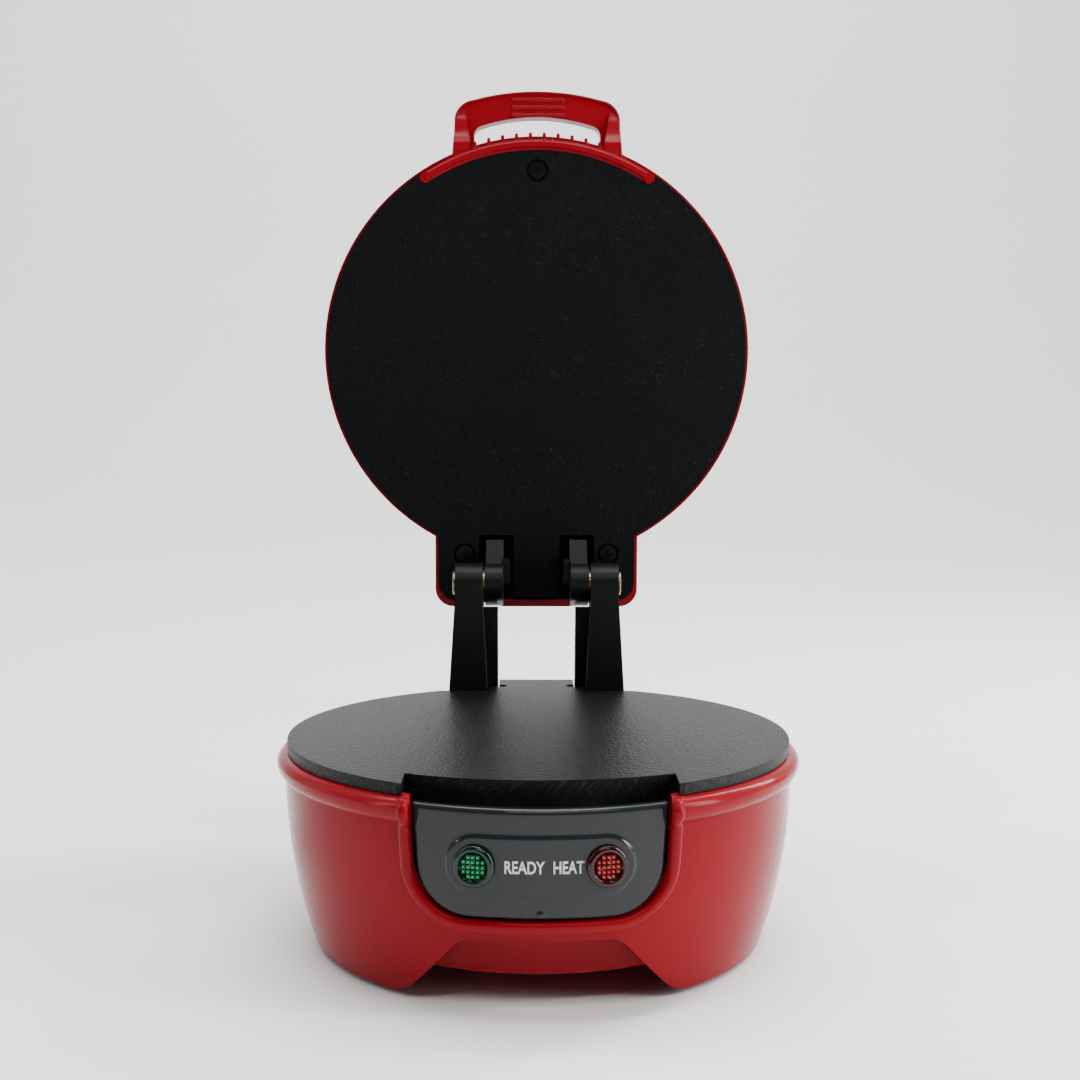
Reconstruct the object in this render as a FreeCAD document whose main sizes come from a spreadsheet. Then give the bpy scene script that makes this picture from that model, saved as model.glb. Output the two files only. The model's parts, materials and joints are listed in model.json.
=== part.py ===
import FreeCAD, Part
import os
import re

import Sketcher

# A clamshell snack maker: a drum-shaped red base with a round hot plate and a
# control panel, two hinge posts at the rear, and a lid with a matching plate.
# Millimetres. Base pieces are drawn with z = 0 at the housing's bottom edge,
# lid pieces with their origin on the hinge axis and z up along the open lid.

SIZES = {
    # base housing
    "wall": 2.6,
    "foot_stand": 1.0,
    "base_radius": 78.0,
    "drum_radius": 75.2,
    "drum_top": 46.0,
    "leg_radius": 67.4,
    "drum_bulge": 2.05,
    "rim_low": 50.4,
    "rim_mid": 54.0,
    "rim_top": 56.4,
    "mouth_radius": 71.6,
    "arch_half": 37.0,
    "arch_top_half": 20.6,
    "arch_height": 20.0,
    "arch_turn": 6.0,
    "arch_round": 2.9,
    "leg_round": 1.6,
    "ledge_radius": 66.0,
    "rear_half": 34.0,
    "rear_depth": 92.0,
    "rear_top": 54.5,
    "rear_floor": 22.5,
    # control panel
    "panel_face": 75.7,
    "panel_thick": 2.4,
    "panel_top": 55.4,
    "panel_top_half": 34.2,
    "panel_half": 33.2,
    "panel_low": 26.2,
    "panel_corner": 14.5,
    "panel_gap": 0.5,
    "panel_edge": 2.0,
    "panel_screw_x": 25.5,
    "panel_screw_z": 35.0,
    "bead_width": 3.1,
    "bead_height": 1.1,
    "bead_step": 0.5,
    "stadium_half": 24.9,
    "stadium_radius": 8.3,
    "stadium_width": 0.6,
    "stadium_height": 0.5,
    "lamp_height": 40.6,
    "lamp_angle": 12.9,
    "lens_radius": 5.5,
    "lens_stem": 4.3,
    # hot plates
    "plate_radius": 75.0,
    "plate_thick": 3.2,
    "plate_top": 59.8,
    "notch_half": 36.2,
    "notch_arc": 87.6,
    "notch_depth": 62.3,
    "skirt_radius": 69.6,
    "skirt_wall": 3.0,
    "skirt_depth": 6.4,
    "plate_tab_half": 16.8,
    "plate_tab_end": 89.5,
    "plate_screw_ring": 30.0,
    "crescent_x": 12.6,
    "crescent_radius": 2.2,
    # heating
    "element_ring": 48.0,
    "element_tube": 3.3,
    "shield_radius": 58.5,
    "sheet_thick": 0.8,
    # hinge
    "pin_y": 76.0,
    "pin_z": 96.5,
    "pin_radius": 2.5,
    "pin_clearance": 0.06,
    "pin_head_radius": 4.1,
    "pin_head": 0.8,
    "post_in": 17.2,
    "post_out": 30.4,
    "post_in_top": 18.8,
    "post_out_top": 28.5,
    "post_front": 67.5,
    "post_rear": 86.0,
    "post_cap": 7.0,
    "post_wall": 2.6,
    "post_bottom": 25.1,
    "post_screw_front": 73.5,
    "post_screw_rear": 81.5,
    "flange_in": 13.6,
    "flange_top": 87.6,
    "lug_in": 11.8,
    "lug_out": 18.2,
    "lug_screw_x": 19.7,
    "lug_screw_low": -1.5,
    "lug_screw_high": 10.0,
    "boss_radius": 6.7,
    # lid
    "lean_back": 1.15,
    "face_offset": 15.6,
    "lid_centre": 82.0,
    "lid_radius": 76.0,
    "lid_rim": 16.9,
    "lid_back": 50.5,
    "tab_half": 36.5,
    "tab_end": 10.1,
    "tab_corner": 6.5,
    "upper_tab_half": 35.2,
    "upper_tab_end": 6.9,
    "window_in": 8.3,
    "window_out": 20.7,
    "window_top": 15.8,
    "lip_angle": 33.0,
    "lip_inner": 71.0,
    "upper_screw_x": 25.9,
    "upper_screw_z": 9.1,
    "upper_screw_ring": 63.8,
    # handle
    "handle_half": 29.65,
    "handle_root": 30.9,
    "handle_top": 174.6,
    "handle_shoulder": 165.0,
    "handle_corner": 6.5,
    "handle_arch": 3.1,
    "handle_face": 21.5,
    "handle_rear": 27.5,
    "handle_rim": 0.7,
    "arm_inner": 26.2,
    "arm_inner_root": 23.6,
    "arm_front": 15.8,
    "grip_ridge_half": 8.8,
    "grip_ridge_radius": 0.95,
    "grip_ridge_top": 171.7,
    "grip_ridge_pitch": 2.7,
    "finger_half": 22.6,
    "finger_foot": 75.9,
    "finger_foot_corner": 1.2,
    "finger_top": 165.6,
    "finger_arch": 3.1,
    "finger_corner": 3.6,
    "rib_count": 10.0,
    "rib_pitch": 4.94,
    "rib_half": 0.76,
    "rib_tip_half": 0.6,
    "rib_ring": 77.3,
    "rib_front": 16.4,
    # fasteners and feet
    "screw_head": 2.95,
    "screw_shank": 1.45,
    "foot_radius": 5.0,
    "foot_ring": 58.5,
    "cord_bore": 3.6,
    "cover_screw_ring": 66.2,
}

doc = FreeCAD.newDocument("snack_maker")
sheet = doc.addObject("Spreadsheet::Sheet", "sizes")
for row, (alias, value) in enumerate(SIZES.items(), start=1):
    sheet.set(f"A{row}", alias)
    sheet.set(f"B{row}", str(value))
    sheet.setAlias(f"B{row}", alias)
doc.recompute()

ALIAS = re.compile(r"\b(" + "|".join(sorted(SIZES, key=len, reverse=True)) + r")\b")
PLANES = {
    "XY": FreeCAD.Rotation(),
    "XZ": FreeCAD.Rotation(FreeCAD.Vector(1, 0, 0), 90),
    "YZ": FreeCAD.Rotation(FreeCAD.Vector(1, 1, 1), 120),
}
NORMALS = {
    "XY": FreeCAD.Vector(0, 0, 1),
    "XZ": FreeCAD.Vector(0, -1, 0),
    "YZ": FreeCAD.Vector(1, 0, 0),
}
TURNS = {
    "X": FreeCAD.Rotation(FreeCAD.Vector(0, 1, 0), 90),
    "Y": FreeCAD.Rotation(FreeCAD.Vector(1, 0, 0), -90),
    "Z": FreeCAD.Rotation(),
}


# ---------------------------------------------------------------- helpers

def formula(text):
    """An expression in which every alias of the sheet is qualified."""
    return ALIAS.sub(r"sizes.\1", str(text))


def number(text):
    """What an expression is worth now."""
    return float(sheet.evalExpression(formula(text)))


def bind(obj, **properties):
    """Binds properties of an object to expressions; '__' stands for a dot."""
    for name, text in properties.items():
        obj.setExpression(name.replace("__", "."), formula(text))
    return obj


def add(kind, name):
    return doc.addObject(kind, name)


def at(obj, x, y, z):
    return bind(obj, Placement__Base__x=x, Placement__Base__y=y, Placement__Base__z=z)


def box(name, x, y, z):
    """A box from pairs of expressions, (low, high) on each axis."""
    obj = add("Part::Box", name)
    lengths = [f"({high})-({low})" for low, high in (x, y, z)]
    bind(obj, Length=lengths[0], Width=lengths[1], Height=lengths[2])
    return at(obj, x[0], y[0], z[0])


def cylinder(name, radius, length, x, y, z, axis="Z"):
    """A cylinder that starts at a point and runs along +X, +Y or +Z."""
    obj = add("Part::Cylinder", name)
    obj.Placement.Rotation = TURNS[axis]
    bind(obj, Radius=radius, Height=length)
    return at(obj, x, y, z)


def fuse(name, *shapes):
    obj = add("Part::MultiFuse", name)
    obj.Shapes = list(shapes)
    obj.Refine = True
    return obj


def common(name, *shapes):
    obj = add("Part::MultiCommon", name)
    obj.Shapes = list(shapes)
    return obj


def cut(name, base, *tools):
    tool = tools[0] if len(tools) == 1 else fuse(name + "_tools", *tools)
    obj = add("Part::Cut", name)
    obj.Base = base
    obj.Tool = tool
    obj.Refine = True
    return obj


def side_arc(start, end, bulge):
    """The three points of an arc whose middle stands off the chord by bulge,
    to the left of the way from start to end when bulge is positive."""
    chord = end - start
    left = FreeCAD.Vector(-chord.y, chord.x, 0).normalize()
    return start, (start + end) * 0.5 + left * bulge, end


def outline(name, plane, offset, corners):
    """A closed sketch on a plane at an offset along the plane's own axis.
    A corner is (x, y), or (x, y, bulge) when an arc leads to it."""
    sketch = add("Sketcher::SketchObject", name)
    sketch.Placement.Rotation = PLANES[plane]
    axis = {"XY": "z", "XZ": "y", "YZ": "x"}[plane]
    sketch.setExpression(f"Placement.Base.{axis}", formula(offset))
    points = [FreeCAD.Vector(number(c[0]), number(c[1]), 0) for c in corners]
    ends = []
    for i, corner in enumerate(corners):
        start, end = points[i - 1], points[i]
        if len(corner) == 2:
            sketch.addGeometry(Part.LineSegment(start, end))
            ends.append((1, 2))
            continue
        arc = Part.Arc(*side_arc(start, end, number(corner[2])))
        index = sketch.addGeometry(arc)
        forward = (sketch.getPoint(index, 1) - start).Length < 1e-6
        ends.append((1, 2) if forward else (2, 1))
    for i, corner in enumerate(corners):
        previous = corners[i - 1]
        sketch.addConstraint(Sketcher.Constraint("Coincident", i - 1 if i else len(corners) - 1,
                                                 ends[i - 1][1], i, ends[i][0]))
        for kind, point, text in (("DistanceX", points[i].x, corner[0]),
                                  ("DistanceY", points[i].y, corner[1])):
            index = sketch.addConstraint(Sketcher.Constraint(kind, -1, 1, i, ends[i][1], point))
            sketch.setExpression(f"Constraints[{index}]", formula(text))
        if len(corner) == 3:
            chord = f"((({corner[0]})-({previous[0]}))^2+(({corner[1]})-({previous[1]}))^2)"
            text = f"{chord}/(8*abs({corner[2]}))+abs({corner[2]})/2"
            index = sketch.addConstraint(Sketcher.Constraint("Radius", i, number(text)))
            sketch.setExpression(f"Constraints[{index}]", formula(text))
    return sketch


def slab(name, plane, low, high, corners):
    """An outline extruded between two coordinates of its plane's axis."""
    obj = add("Part::Extrusion", name)
    obj.Base = outline(name + "_outline", plane, high if plane == "XZ" else low, corners)
    obj.DirMode = "Custom"
    obj.Dir = NORMALS[plane]
    obj.Solid = True
    return bind(obj, LengthFwd=f"({high})-({low})")


def turned(name, corners, axis="Z", centre=("0", "0", "0")):
    """An outline of (radius, height) turned about Z, or about Y as (radius, y)."""
    obj = add("Part::Revolution", name)
    plane = "XZ" if axis == "Z" else "XY"
    obj.Source = outline(name + "_outline", plane, "0", corners)
    obj.Axis = FreeCAD.Vector(0, 0, 1) if axis == "Z" else FreeCAD.Vector(0, 1, 0)
    obj.Angle = 360
    obj.Solid = True
    return at(obj, *centre)


def rounded(name, base, radius, chosen):
    """Fillets the edges of a shape that a test picks."""
    doc.recompute()
    obj = add("Part::Fillet", name)
    obj.Base = base
    size = number(radius)
    obj.Edges = [(i, size, size) for i, edge in enumerate(base.Shape.Edges, start=1) if chosen(edge)]
    return obj


def mirrored(name, source):
    """The copy of a shape on the other side of the plane of symmetry."""
    obj = add("Part::Mirroring", name)
    obj.Source = source
    obj.Normal = FreeCAD.Vector(1, 0, 0)
    return obj


def along(axis):
    """Tests whether an edge is straight and runs along an axis."""
    def test(edge):
        if edge.Curve.TypeId != "Part::GeomLine":
            return False
        return abs(abs(getattr(edge.tangentAt(edge.FirstParameter), axis)) - 1) < 1e-4
    return test


def on_ring(angles, radius):
    """Points round the Z axis at some angles in degrees, as expressions."""
    return [(f"({radius})*cos({a} deg)", f"({radius})*sin({a} deg)") for a in angles]


def turn(reach, angle):
    """How far an arc that turns by an angle stands off its chord, from its tangent length."""
    return f"({reach})*cos(({angle})/2)*tan(({angle})/4)"


THREE_BOSSES = (90, 210, 330)
FOUR_CORNERS = (45, 135, 225, 315)
COVER_SCREWS = (20, 160, 200, 340)
POST_SCREWS = ("post_screw_front", "post_screw_rear")
LUG_SCREWS = ("lug_screw_low", "lug_screw_high")
UPPER_SCREWS = (
    ("-upper_screw_x", "upper_screw_z"),
    ("upper_screw_x", "upper_screw_z"),
    ("0", "lid_centre+upper_screw_ring"),
)


NODES = {}


def node(name, obj, body):
    """Names a finished sub-part and sets it in its place."""
    obj.Label = name
    if body == "base":
        place = FreeCAD.Placement(FreeCAD.Vector(0, 0, number("foot_stand")), FreeCAD.Rotation())
    else:
        origin = FreeCAD.Vector(0, number("pin_y"), number("pin_z + foot_stand"))
        lean = FreeCAD.Rotation(FreeCAD.Vector(1, 0, 0), -number("lean_back"))
        place = FreeCAD.Placement(origin, lean)
    obj.Placement = place.multiply(obj.Placement)
    NODES[name] = obj


def group(name, shapes, body):
    """Several separate solids of one kind in one node."""
    obj = add("Part::Compound", name)
    obj.Links = shapes
    node(name, obj, body)


# ---------------------------------------------------------------- base

def panel_outline(name, grow, low, high):
    """The panel's front shape, straight above and rounded below, grown by an offset."""
    side = f"panel_half+({grow})"
    top_side = f"panel_top_half+({grow})"
    centre_x = "(panel_half-panel_corner)"
    centre_z = "(panel_low+panel_corner)"
    radius = f"(panel_corner+({grow}))"
    sagitta = turn(radius, "90 deg")
    return slab(name, "XZ", low, high, [
        (f"-({top_side})", "panel_top+4.4"),
        (f"-({side})", centre_z),
        (f"-{centre_x}", f"{centre_z}-{radius}", f"-{sagitta}"),
        (centre_x, f"{centre_z}-{radius}"),
        (side, centre_z, f"-{sagitta}"),
        (top_side, "panel_top+4.4"),
    ])


def drum(name, grow):
    """The drum's outer surface as a solid of revolution, grown by an offset."""
    return turned(name, [
        ("0", "0"),
        (f"leg_radius-leg_round+{grow}", "0"),
        (f"leg_radius+0.1*leg_round+{grow}", "leg_round", "-0.28*leg_round"),
        (f"drum_radius+{grow}+0.3", "rim_low-0.6", "-drum_bulge"),
        (f"drum_radius+{grow}+1.1", "rim_low-0.4"),
        (f"base_radius+{grow}*0.5", "rim_mid", "-0.5"),
        (f"mouth_radius+2.4+{grow}*0.5", f"rim_top+{grow}*0.1", "-0.9"),
        ("0", f"rim_top+{grow}*0.1"),
    ])


def arch(name, y):
    """The opening between the legs: sloping sides, rounded above and flared below."""
    slope = "atan(arch_height/(arch_half-arch_top_half))"
    right = [
        ("arch_half+arch_turn", "-2"),
        ("arch_half+arch_turn", "0"),
        (f"arch_half-arch_turn*cos({slope})", f"arch_turn*sin({slope})", turn("arch_turn", slope)),
        (f"arch_top_half+arch_round*cos({slope})", f"arch_height-arch_round*sin({slope})"),
        ("arch_top_half-arch_round", "arch_height", "-" + turn("arch_round", slope)),
    ]
    left = [
        ("arch_round-arch_top_half", "arch_height"),
        (f"-arch_top_half-arch_round*cos({slope})", f"arch_height-arch_round*sin({slope})",
         "-" + turn("arch_round", slope)),
        (f"arch_turn*cos({slope})-arch_half", f"arch_turn*sin({slope})"),
        ("-arch_half-arch_turn", "0", turn("arch_turn", slope)),
        ("-arch_half-arch_turn", "-2"),
    ]
    return slab(name, "XZ", y[0], y[1], right + left)


def base_housing():
    outside = drum("housing_drum", "0")
    rear = rounded("housing_rear_round", box("housing_rear", ("-rear_half", "rear_half"),
                   ("40", "rear_depth"), ("rear_floor", "rear_top")), "5",
                   lambda e: along("z")(e) and e.BoundBox.YMin > 60)
    inside = turned("housing_inside", [
        ("0", "-1"),
        ("leg_radius-wall-0.33", "-1"),
        ("leg_radius+2.6", "arch_height"),
        ("ledge_radius", "arch_height"),
        ("ledge_radius", "rear_floor"),
        ("leg_radius+3.4", "rear_floor"),
        ("drum_radius-wall", "drum_top"),
        ("mouth_radius", "rim_low"),
        ("mouth_radius", "rim_top+1"),
        ("0", "rim_top+1"),
    ])
    rear_inside = box("housing_rear_inside", ("wall-rear_half", "rear_half-wall"),
                      ("30", "rear_depth-wall"), ("rear_floor+wall", "rear_top-wall"))
    bead_foot = common("bead_foot", panel_outline("bead_foot_shape", "bead_width", "-90", "-50"),
                       drum("bead_foot_drum", "bead_step"))
    crown = common("bead_crown", panel_outline("bead_crown_shape", "bead_width-bead_step", "-90", "-50"),
                   drum("bead_crown_drum", "bead_height"))
    bead = [bead_foot, cut("bead_crown_open", crown,
                           panel_outline("bead_crown_inside", "bead_step", "-95", "-45"))]
    openings = [
        panel_outline("panel_window", "0", "-90", "-50"),
        arch("front_arch", ("-90", "-40")),
        arch("rear_arch", ("40", "100")),
        rear_inside,
        cylinder("gland_hole", "cord_bore+2.4", "20", "0", "rear_depth-15", "lamp_height-4", "Y"),
    ]
    openings += [cylinder("cover_pilot", "screw_shank", "3", x, y, "arch_height-0.2")
                 for x, y in on_ring(COVER_SCREWS, "cover_screw_ring")]
    for side in (-1, 1):
        openings += [cylinder("post_screw_hole", "screw_shank+0.1", "4", f"{side}*(post_in+post_out)/2",
                              y, "rear_floor-0.5") for y in POST_SCREWS]
        inner, outer = sorted((f"{side}*(post_in-0.3)", f"{side}*(post_out+0.3)"), key=number)
        openings.append(box("post_hole", (inner, outer), ("post_front-0.3", "post_rear+0.3"),
                            ("rear_top-10", "rim_top+1")))
        inner, outer = sorted((f"{side}*(flange_in-0.3)", f"{side}*(post_in)"), key=number)
        openings.append(box("flange_hole", (inner, outer), ("pin_y", "post_rear+0.3"),
                            ("rear_top-10", "rim_top+1")))
    solid = fuse("housing_solid", outside, rear, *bead)
    node("base_housing", cut("housing", solid, inside, *openings), "base")


def bottom_cover():
    cup = turned("cover_cup", [
        ("0", "7.5"),
        ("61.5", "7.5"),
        ("63.5", "9.5", "-0.6"),
        ("64", "16.5"),
        ("64", "arch_height-1.8"),
        ("leg_radius+1.6", "arch_height-1.8"),
        ("leg_radius+1.6", "arch_height-0.1"),
        ("61.5", "arch_height-0.1"),
        ("61", "10"),
        ("0", "10"),
    ])
    bosses = [cylinder("cover_boss", "foot_radius+1.5", "8.5", x, y, "0.5")
              for x, y in on_ring(FOUR_CORNERS, "foot_ring-1")]
    sockets = [cylinder("cover_socket", "foot_radius+0.05", "2.1", x, y, "0")
               for x, y in on_ring(FOUR_CORNERS, "foot_ring-1")]
    holes = [cylinder("cover_screw_hole", "screw_shank+0.15", "4", x, y, "arch_height-3")
             for x, y in on_ring(COVER_SCREWS, "cover_screw_ring")]
    flange_relief = arch("cover_arch_front", ("-90", "-64.2"))
    rear_relief = arch("cover_arch_rear", ("64.2", "90"))
    node("bottom_cover", cut("cover", fuse("cover_solid", cup, *bosses), *sockets, *holes,
                             flange_relief, rear_relief), "base")


def stadium(name, inset):
    """A long round-ended block through the panel, inset from the raised area's edge."""
    radius = f"(stadium_radius-({inset}))"
    straight = "(stadium_half-stadium_radius)"
    rounds = [cylinder(name + "_end", radius, "40", x, "-90", "lamp_height", "Y")
              for x in (f"-{straight}", straight)]
    middle = box(name + "_middle", (f"-{straight}", straight), ("-90", "-50"),
                 (f"lamp_height-{radius}", f"lamp_height+{radius}"))
    return fuse(name, middle, *rounds)


def control_panel():
    ring = turned("panel_ring", [
        ("panel_face-panel_thick", "20"),
        ("panel_face", "20"),
        ("panel_face", "panel_top-panel_edge"),
        ("panel_face-panel_edge", "panel_top", "-" + turn("panel_edge", "90 deg")),
        ("panel_face-panel_thick", "panel_top"),
    ])
    plate = common("panel_plate", panel_outline("panel_shape", "-panel_gap", "-90", "-50"), ring)
    raised = []
    for step in (1, 2):
        band = turned("raised_ring", [
            ("panel_face-0.5", "25"),
            (f"panel_face+stadium_height*{step}/2", "25"),
            (f"panel_face+stadium_height*{step}/2", "55"),
            ("panel_face-0.5", "55"),
        ])
        raised.append(common("raised_area", band, stadium("raised_shape", f"stadium_width*{step}")))
    holes = []
    for side in (-1, 1):
        holes.append(lamp_piece("lamp_hole", side, [
            ("0", "-20"), ("lens_stem+0.1", "-20"), ("lens_stem+0.1", "5"), ("0", "5")]))
    bosses = []
    pilots = []
    for x in ("-panel_screw_x", "panel_screw_x"):
        bosses.append(cylinder("panel_boss", "3", "6", x, "-70", "panel_screw_z", "Y"))
        pilots.append(cylinder("panel_pilot", "screw_shank-0.3", "5", x, "-68", "panel_screw_z", "Y"))
    front = fuse("panel_front", plate, *raised)
    pierced = cut("panel_pierced", front, *holes)
    node("control_panel", cut("panel", fuse("panel_solid", pierced, *bosses), *pilots), "base")


def lamp_piece(name, side, corners):
    """A part turned about a lamp's axis; corners are (radius, distance outwards from the panel)."""
    facing = [(radius, f"-panel_face-({out})", *bulge) for radius, out, *bulge in corners]
    piece = turned(name, facing, "Y", ("0", "0", "lamp_height"))
    piece.Placement.Rotation.Axis = FreeCAD.Vector(0, 0, 1)
    return bind(piece, Placement__Rotation__Angle=f"{side}*lamp_angle")


def lamps():
    for colour, side in (("green", -1), ("red", 1)):
        group(f"{colour}_lamp_lens", [lamp_piece(f"{colour}_lens_solid", side, [
            ("0", "-9"),
            ("lens_stem-1.2", "-9"),
            ("lens_stem", "-7.5"),
            ("lens_stem", "stadium_height+0.1"),
            ("lens_radius", "stadium_height+0.1"),
            ("lens_radius", "stadium_height+0.9"),
            ("lens_radius-0.7", "stadium_height+1.5"),
            ("lens_radius-1.3", "stadium_height+1.5"),
            ("1", "stadium_height+2.3", "0.3"),
            ("0", "stadium_height+2.3"),
        ])], "base")
        group(f"{colour}_lamp_holder", [lamp_piece(f"{colour}_holder_solid", side, [
            ("0", "-9.3"),
            ("lens_stem+0.15", "-9.3"),
            ("lens_stem+0.15", "-panel_thick-0.7"),
            ("lens_stem+1.5", "-panel_thick-0.7"),
            ("lens_stem+1.5", "-14"),
            ("2.2", "-14"),
            ("2.2", "-17"),
            ("0", "-17"),
        ])], "base")


def notch(name, grow, low, high):
    """What the front notch takes away from the plate: a box short of an arc."""
    block = box(name + "_box", (f"-(notch_half+({grow}))", f"notch_half+({grow})"),
                ("-85", "-48"), (low, high))
    disc = cylinder(name + "_disc", f"notch_arc-({grow})", f"({high})-({low})+2",
                    "0", "notch_arc-notch_depth", f"{low}-1")
    return cut(name, block, disc)


def lower_plate():
    low = "plate_top-plate_thick"
    disc = cylinder("plate_disc", "plate_radius", "plate_thick", "0", "0", low)
    tab = box("plate_tab", ("-plate_tab_half", "plate_tab_half"), ("60", "plate_tab_end"),
              (low, "plate_top"))
    top = fuse("plate_top_solid", disc, tab)
    skirt_low = "plate_top-plate_thick-skirt_depth"
    skirt = cut("plate_skirt",
                cylinder("skirt_out", "skirt_radius", "skirt_depth+1", "0", "0", skirt_low),
                notch("skirt_notch", "0", f"{skirt_low}-1", "plate_top+1"),
                cut("skirt_hollow",
                    cylinder("skirt_in", "skirt_radius-skirt_wall", "skirt_depth+2", "0", "0",
                             f"{skirt_low}-1"),
                    notch("skirt_hollow_notch", "skirt_wall", f"{skirt_low}-2", "plate_top+2")))
    cuts = [notch("plate_notch", "0", "40", "plate_top+1")]
    for side in (-1, 1):
        inner, outer = sorted((f"{side}*(post_in-0.4)", f"{side}*(post_out+3)"), key=number)
        cuts.append(box("plate_post_cut", (inner, outer), ("post_front-0.3", "95"),
                        ("40", "plate_top+1")))
        cuts.append(cylinder("plate_crescent", "crescent_radius", "30", f"{side}*crescent_x",
                             "pin_y+1", "40"))
        inner, outer = sorted((f"{side}*(flange_in-0.4)", f"{side}*(post_in)"), key=number)
        cuts.append(box("plate_flange_cut", (inner, outer), ("pin_y-0.4", "95"),
                        ("40", "plate_top+1")))
    bosses = [cylinder("plate_boss", "4", "skirt_depth+1", x, y, skirt_low)
              for x, y in on_ring(THREE_BOSSES, "plate_screw_ring")]
    pilots = [cylinder("plate_pilot", "screw_shank", "skirt_depth", x, y, f"{skirt_low}-0.5")
              for x, y in on_ring(THREE_BOSSES, "plate_screw_ring")]
    solid = fuse("plate_solid", cut("plate_cut", fuse("plate_all", top, skirt), *cuts), *bosses)
    node("lower_plate", cut("plate_drilled", solid, *pilots), "base")


def element(name, x, y, z):
    """A tubular heating element: most of a ring, with two cold ends that hang down."""
    ring = add("Part::Torus", name + "_ring")
    bind(ring, Radius1="element_ring", Radius2="element_tube")
    ring.Angle3 = 300
    ring.Placement.Rotation = FreeCAD.Rotation(FreeCAD.Vector(0, 0, 1), 120)
    at(ring, x, y, z)
    ends = []
    for angle in (60, 120):
        ex = f"({x})+element_ring*cos({angle} deg)"
        ey = f"({y})+element_ring*sin({angle} deg)"
        ends.append(cylinder(name + "_end", "element_tube", "9", ex, ey, f"({z})-9"))
        knob = add("Part::Sphere", name + "_bend")
        bind(knob, Radius="element_tube+0.04")
        ends.append(at(knob, ex, ey, z))
    return fuse(name, ring, *ends)


def lower_heating():
    centre = "plate_top-plate_thick-element_tube-0.2"
    node("lower_heating_element", element("lower_element", "0", "0", centre), "base")
    shield = turned("shield_dish", [
        ("0", "41"), ("shield_radius-4", "41"), ("shield_radius", "46"), ("shield_radius", "49.4"),
        ("shield_radius-sheet_thick", "49.4"), ("shield_radius-sheet_thick", "46.2"),
        ("shield_radius-4.3", "41+sheet_thick"), ("0", "41+sheet_thick"),
    ])
    holes = [cylinder("shield_end_hole", "element_tube+1", "6", f"{side}*element_ring/2",
                      "element_ring*sin(60 deg)", "38") for side in (-1, 1)]
    holes += [cylinder("shield_screw_hole", "screw_shank+0.3", "6", x, y, "38")
              for x, y in on_ring(THREE_BOSSES, "plate_screw_ring")]
    front = slab("shield_front", "XY", "38", "55", [
        ("-45", "-80"), ("45", "-80"), ("45", "-55"), ("-45", "-55")])
    node("lower_heat_shield", cut("shield", shield, *holes, front), "base")
    body = cylinder("thermostat_can", "8", "8", "0", "0", "47.5")
    foot = box("thermostat_foot", ("-13", "13"), ("-4", "4"), ("55.4", "56.4"))
    tags = [box("thermostat_tag", (x, f"{x}+0.8"), ("-3", "3"), ("44", "49")) for x in ("-5", "4.2")]
    node("lower_thermostat", fuse("thermostat", body, foot, *tags), "base")
    fuse_body = cylinder("fuse_can", "2.2", "22", "-11", "18", "52.5", "X")
    leads = cylinder("fuse_leads", "0.6", "34", "-17", "18", "52.5", "X")
    node("thermal_fuse", fuse("fuse_link", fuse_body, leads), "base")


def hinge_post(side_name, side):
    """A channel open to the rear, tapering to a round head about the pin."""
    front_view = slab("post_front_view", "XZ", "40", "120", [
        ("post_in", "post_bottom"),
        ("post_out", "post_bottom"),
        ("post_out", "plate_top"),
        ("post_out_top", "pin_z-5.5"),
        ("post_out_top", "pin_z+post_cap+1"),
        ("post_in_top", "pin_z+post_cap+1"),
        ("post_in_top", "pin_z-5.5"),
        ("post_in", "plate_top"),
    ])
    side_view = slab("post_side_view", "YZ", "0", "50", [
        ("post_front", "post_bottom"),
        ("post_rear", "post_bottom"),
        ("post_rear", "plate_top"),
        ("pin_y+post_cap", "pin_z"),
        ("pin_y", "pin_z+post_cap", "-" + turn("post_cap", "90 deg")),
        ("pin_y-post_cap", "pin_z", "-" + turn("post_cap", "90 deg")),
        ("post_front", "plate_top"),
    ])
    shell = common("post_shell", front_view, side_view)
    channel = slab("post_channel", "YZ", "post_in_top+post_wall", "post_out_top-post_wall", [
        ("post_front+post_wall+1", "post_bottom-1"),
        ("post_rear+1", "post_bottom-1"),
        ("post_rear+1", "pin_z-2"),
        ("pin_y+post_cap-1", "pin_z+3.6"),
        ("pin_y-post_cap+3", "pin_z+3.6"),
    ])
    flange = box("post_flange", ("flange_in", "post_in_top"), ("pin_y+1", "pin_y+4"),
                 ("post_bottom", "flange_top"))
    gusset = slab("post_gusset", "YZ", "flange_in", "flange_in+1.8", [
        ("pin_y+3", "post_bottom"),
        ("post_rear-0.5", "post_bottom"),
        ("post_rear-0.5", "plate_top+6"),
        ("pin_y+3", "flange_top"),
    ])
    bore = cylinder("post_bore", "pin_radius+pin_clearance", "40", "5", "pin_y", "pin_z", "X")
    foot = box("post_foot", ("post_in", "post_out"), ("post_front", "post_rear"),
               ("post_bottom", "post_bottom+3"))
    pilots = [cylinder("post_pilot", "screw_shank", "3.5", "(post_in+post_out)/2", y, "post_bottom-0.2")
              for y in POST_SCREWS]
    body = cut("post_body", fuse("post_solid", cut("post_hollow", shell, channel), flange, gusset, foot),
               bore, *pilots)
    shape = body if side > 0 else mirrored("post_mirror", body)
    node(f"hinge_post_{side_name}", shape, "base")


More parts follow.
